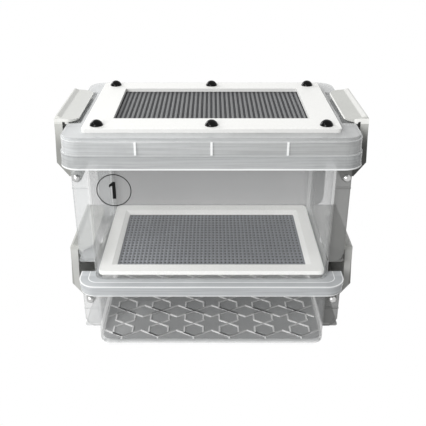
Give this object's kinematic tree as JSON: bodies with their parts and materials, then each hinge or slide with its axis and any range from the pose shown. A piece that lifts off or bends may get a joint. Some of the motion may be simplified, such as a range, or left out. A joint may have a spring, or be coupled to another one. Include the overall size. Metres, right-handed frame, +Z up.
{
  "type": "insect keeper box",
  "caption": "Stacked clear plastic insect box: a tray, an upper box with a meshed floor and a vented lid, held together by hinged clamp latches at the sides.",
  "frame": {"origin": "middle of the footprint, on the underside of the tray", "axes": "+Z up, -Y is the front long side, +X to the right seen from the front"},
  "size_m": [0.243, 0.156, 0.1966],
  "materials": {
    "clear_plastic": "clear, polished",
    "white_plastic": "satin",
    "mesh": "woven, matt",
    "black_screw": "glossy",
    "steel": "plain",
    "ivory_plastic": "satin"
  },
  "bodies": {
    "tray": {"lower_tray": "clear_plastic", "hinge_pin_lower_left": "steel", "hinge_pin_lower_right": "steel"},
    "box": {"upper_box": "clear_plastic", "floor_vent_frame": "white_plastic", "floor_vent_mesh": "mesh", "hinge_pin_upper_left": "steel", "hinge_pin_upper_right": "steel"},
    "lid": {"lid": "clear_plastic", "top_vent_frame": "white_plastic", "top_vent_mesh": "mesh", "vent_screws": "black_screw", "vent_nuts": "steel"},
    "latch_upper_left": {"latch_upper_left": "ivory_plastic"},
    "latch_upper_right": {"latch_upper_right": "ivory_plastic"},
    "latch_lower_left": {"latch_lower_left": "ivory_plastic"},
    "latch_lower_right": {"latch_lower_right": "ivory_plastic"}
  },
  "joints": [
    {"name": "box_lift", "type": "slide", "parent": "tray", "child": "box", "axis": [0, 0, 1], "range_m": [0, 0.014]},
    {"name": "lid_lift", "type": "slide", "parent": "box", "child": "lid", "axis": [0, 0, 1], "range_m": [0, 0.014]},
    {"name": "upper_left_hinge", "type": "hinge", "parent": "box", "child": "latch_upper_left", "pos_m": [-0.1043, 0, 0.1493], "axis": [0, -1, 0], "range_deg": [0, 84]},
    {"name": "upper_right_hinge", "type": "hinge", "parent": "box", "child": "latch_upper_right", "pos_m": [0.1043, 0, 0.1493], "axis": [0, 1, 0], "range_deg": [0, 84]},
    {"name": "lower_left_hinge", "type": "hinge", "parent": "tray", "child": "latch_lower_left", "pos_m": [-0.1024, 0, 0.0377], "axis": [0, -1, 0], "range_deg": [0, 84]},
    {"name": "lower_right_hinge", "type": "hinge", "parent": "tray", "child": "latch_lower_right", "pos_m": [0.1024, 0, 0.0377], "axis": [0, 1, 0], "range_deg": [0, 84]}
  ],
  "couplings": [
    {"joint": "upper_left_hinge", "follows": "lid_lift", "rad_per_m": 104.7},
    {"joint": "upper_right_hinge", "follows": "lid_lift", "rad_per_m": 104.7},
    {"joint": "lower_left_hinge", "follows": "box_lift", "rad_per_m": 104.7},
    {"joint": "lower_right_hinge", "follows": "box_lift", "rad_per_m": 104.7}
  ]
}
